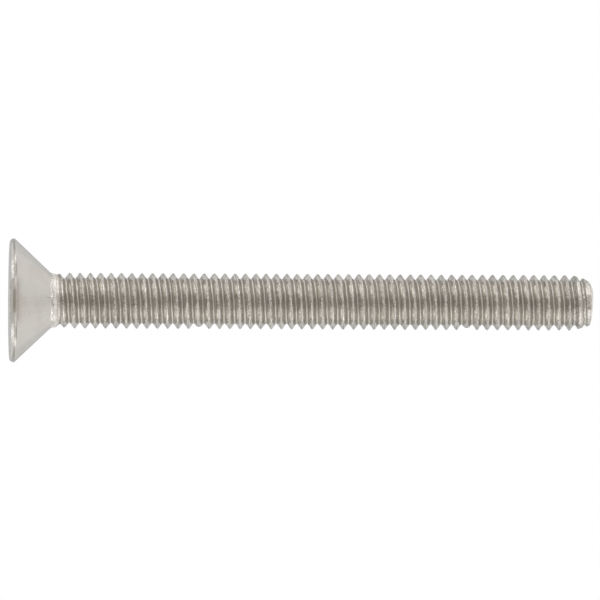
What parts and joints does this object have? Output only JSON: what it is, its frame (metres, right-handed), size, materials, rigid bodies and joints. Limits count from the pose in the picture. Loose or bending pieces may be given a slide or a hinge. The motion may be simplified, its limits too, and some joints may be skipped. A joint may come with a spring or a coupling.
{
  "type": "countersunk screw",
  "caption": "Countersunk machine screw with a hexalobular socket in its flat head and a right-hand metric thread that runs up to a short plain neck.",
  "frame": {"origin": "centre of the head's flat face", "axes": "+Z along the screw's axis, from the head's face to the point; +X towards the side on which two crests are dented"},
  "size_m": [0.0084, 0.0084, 0.0395],
  "materials": {
    "steel": "bright rolled stainless steel"
  },
  "bodies": {
    "root": {"screw": "steel"}
  },
  "joints": []
}
